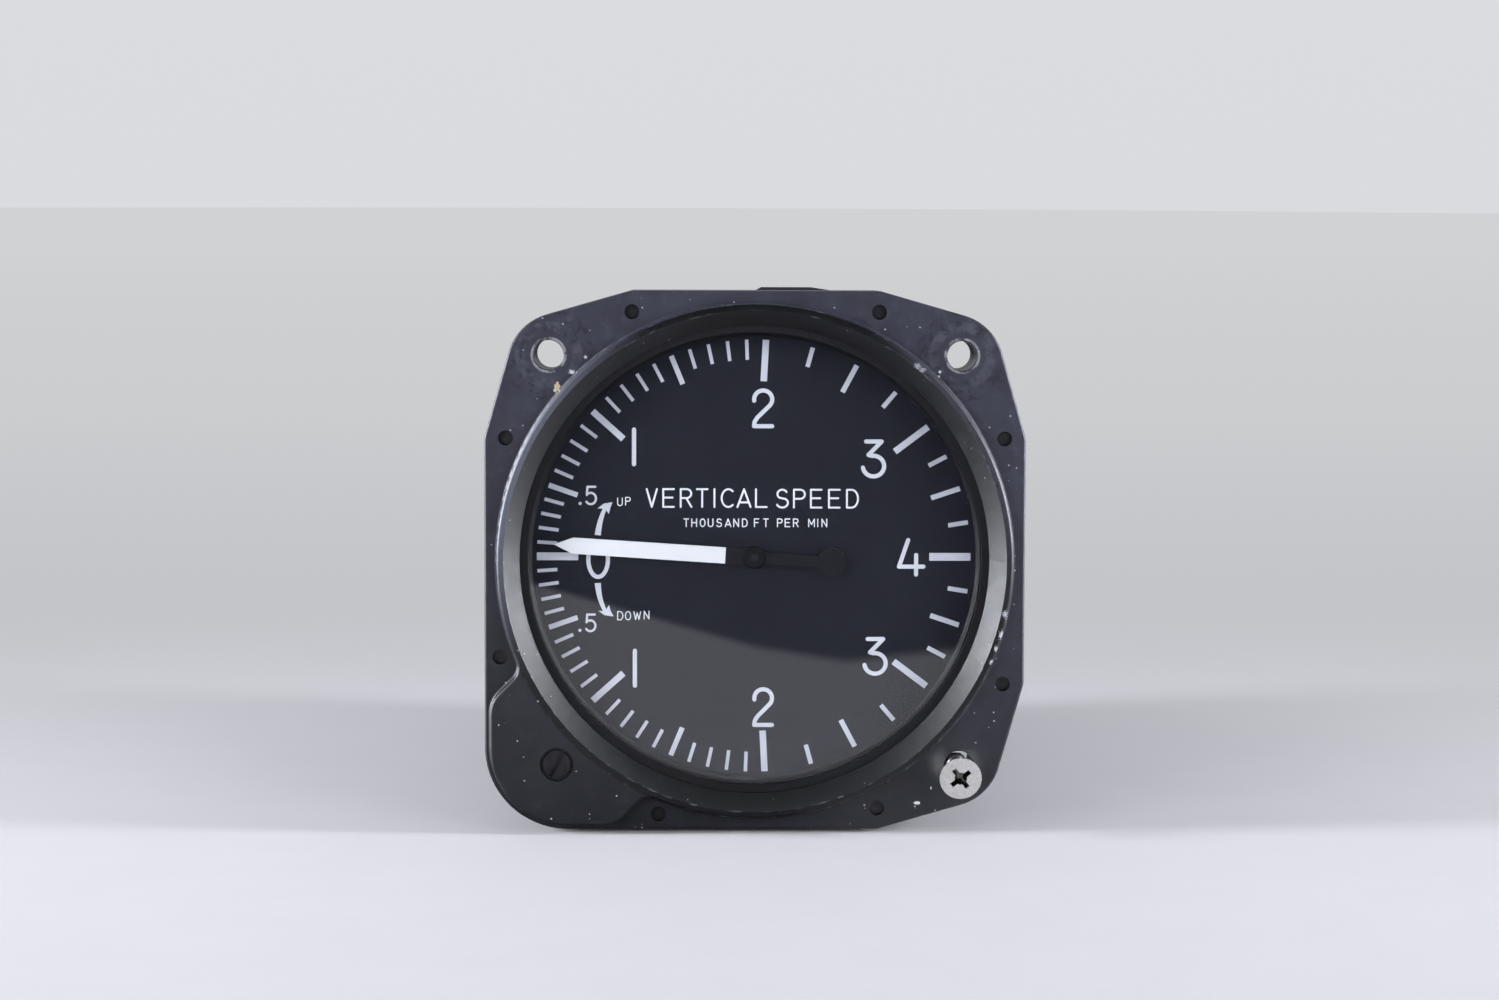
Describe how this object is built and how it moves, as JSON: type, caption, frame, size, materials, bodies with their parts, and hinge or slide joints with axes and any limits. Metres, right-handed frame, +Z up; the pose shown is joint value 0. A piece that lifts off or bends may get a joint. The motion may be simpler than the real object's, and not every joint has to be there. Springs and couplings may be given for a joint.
{
  "type": "vertical speed indicator",
  "caption": "Round capsule-type vertical speed indicator with square flange, centre pointer, zero-adjust screw and rear static port.",
  "frame": {"origin": "centre of the pilot ring in the plane of the flange's front face", "axes": "+X right and +Z up as the pilot sees the dial, +Y back into the panel along the case; the dial faces -Y"},
  "size_m": [0.0826, 0.1023, 0.083],
  "materials": {
    "black_casting": "satin black paint on cast aluminium, chipped at the edges",
    "black_inner": "matt black paint on aluminium",
    "dial_black": "matt black enamel on aluminium sheet",
    "scale_paint": "printed pale grey paint",
    "pointer_paint": "white front part, black middle and tail",
    "glass": "clear flat glass",
    "rubber_black": "matt black rubber",
    "steel_screw": "plain stainless steel",
    "black_screw": "black oxide steel",
    "aluminium_plate": "fine machined aluminium",
    "brass": "turned and milled brass",
    "steel_bright": "ground steel",
    "spring_steel": "tempered spring strip",
    "capsule_bronze": "pressed bronze sheet with soldered rim",
    "ceramic_white": "porous ceramic",
    "filter_bronze": "sintered bronze"
  },
  "bodies": {
    "housing": {"bezel": "black_casting", "case": "black_casting", "flange_gasket": "rubber_black", "glass_gasket": "rubber_black", "cover_glass": "glass", "spacer_ring": "black_inner", "dial": "dial_black", "dial_graduations": "scale_paint", "assembly_screws": "black_screw", "mounting_screw": "steel_screw", "tube_seal": "rubber_black", "inlet_filter": "filter_bronze", "hold_down_screws": "steel_screw", "hold_down_washers": "steel_bright"},
    "zero_screw": {"zero_adjust_screw": "black_screw", "zero_pinion": "brass", "screw_seal": "rubber_black"},
    "movement": {"movement_plate": "aluminium_plate", "rear_plate": "aluminium_plate", "train_pillars": "brass", "train_screws": "steel_screw", "staff_bushes": "brass", "sector_bushes": "brass", "hairspring": "spring_steel", "hairspring_stud": "brass", "rocker_brackets": "brass", "bracket_screws": "steel_screw", "capsule": "capsule_bronze", "capsule_nut": "brass", "capsule_plate": "aluminium_plate", "frame_pillars": "brass", "frame_screws": "steel_screw", "inlet_tube": "brass", "leak_housing": "brass", "leak_plugs": "ceramic_white"},
    "pointer_body": {"pointer": "pointer_paint", "pointer_poise": "brass", "pointer_hub": "black_inner", "pointer_staff": "steel_bright", "hairspring_collet": "brass"},
    "sector_body": {"sector_gear": "brass", "sector_arbor": "steel_bright", "drive_pin": "steel_bright"},
    "rocker": {"rocking_shaft": "steel_bright", "drive_arm": "brass", "capsule_arm": "brass"},
    "link": {"capsule_link": "brass"}
  },
  "joints": [
    {"name": "zero_turn", "type": "hinge", "parent": "housing", "child": "movement", "pos_m": [0, 0, 0], "axis": [0, 1, 0], "range_deg": [-5, 5]},
    {"name": "zero_screw_turn", "type": "hinge", "parent": "housing", "child": "zero_screw", "pos_m": [-0.03022, 0, -0.03097], "axis": [0, 1, 0], "range_deg": [-68, 68]},
    {"name": "sector_turn", "type": "hinge", "parent": "movement", "child": "sector_body", "pos_m": [0.01847, 0, 0.00401], "axis": [0, 1, 0], "range_deg": [-22.04, 22.95], "stiffness_Nm_per_rad": 0.002},
    {"name": "pointer_turn", "type": "hinge", "parent": "movement", "child": "pointer_body", "pos_m": [0, 0, 0], "axis": [0, 1, 0], "range_deg": [-183.65, 176.35], "deforming": ["hairspring"]},
    {"name": "rocker_turn", "type": "hinge", "parent": "movement", "child": "rocker", "pos_m": [0, 0.029, 0.004], "axis": [1, 0, 0], "range_deg": [-16.2, 15.6]},
    {"name": "capsule_slide", "type": "slide", "parent": "movement", "child": "link", "axis": [0, 1, 0], "range_m": [-0.00115, 0.0011], "deforming": ["capsule"]}
  ],
  "couplings": [
    {"joint": "zero_screw_turn", "follows": "zero_turn", "ratio": -13.583},
    {"joint": "pointer_turn", "follows": "sector_turn", "ratio": -8},
    {"joint": "rocker_turn", "follows": "sector_turn", "ratio": -0.7},
    {"joint": "capsule_slide", "follows": "sector_turn", "m_per_rad": -0.0028}
  ]
}
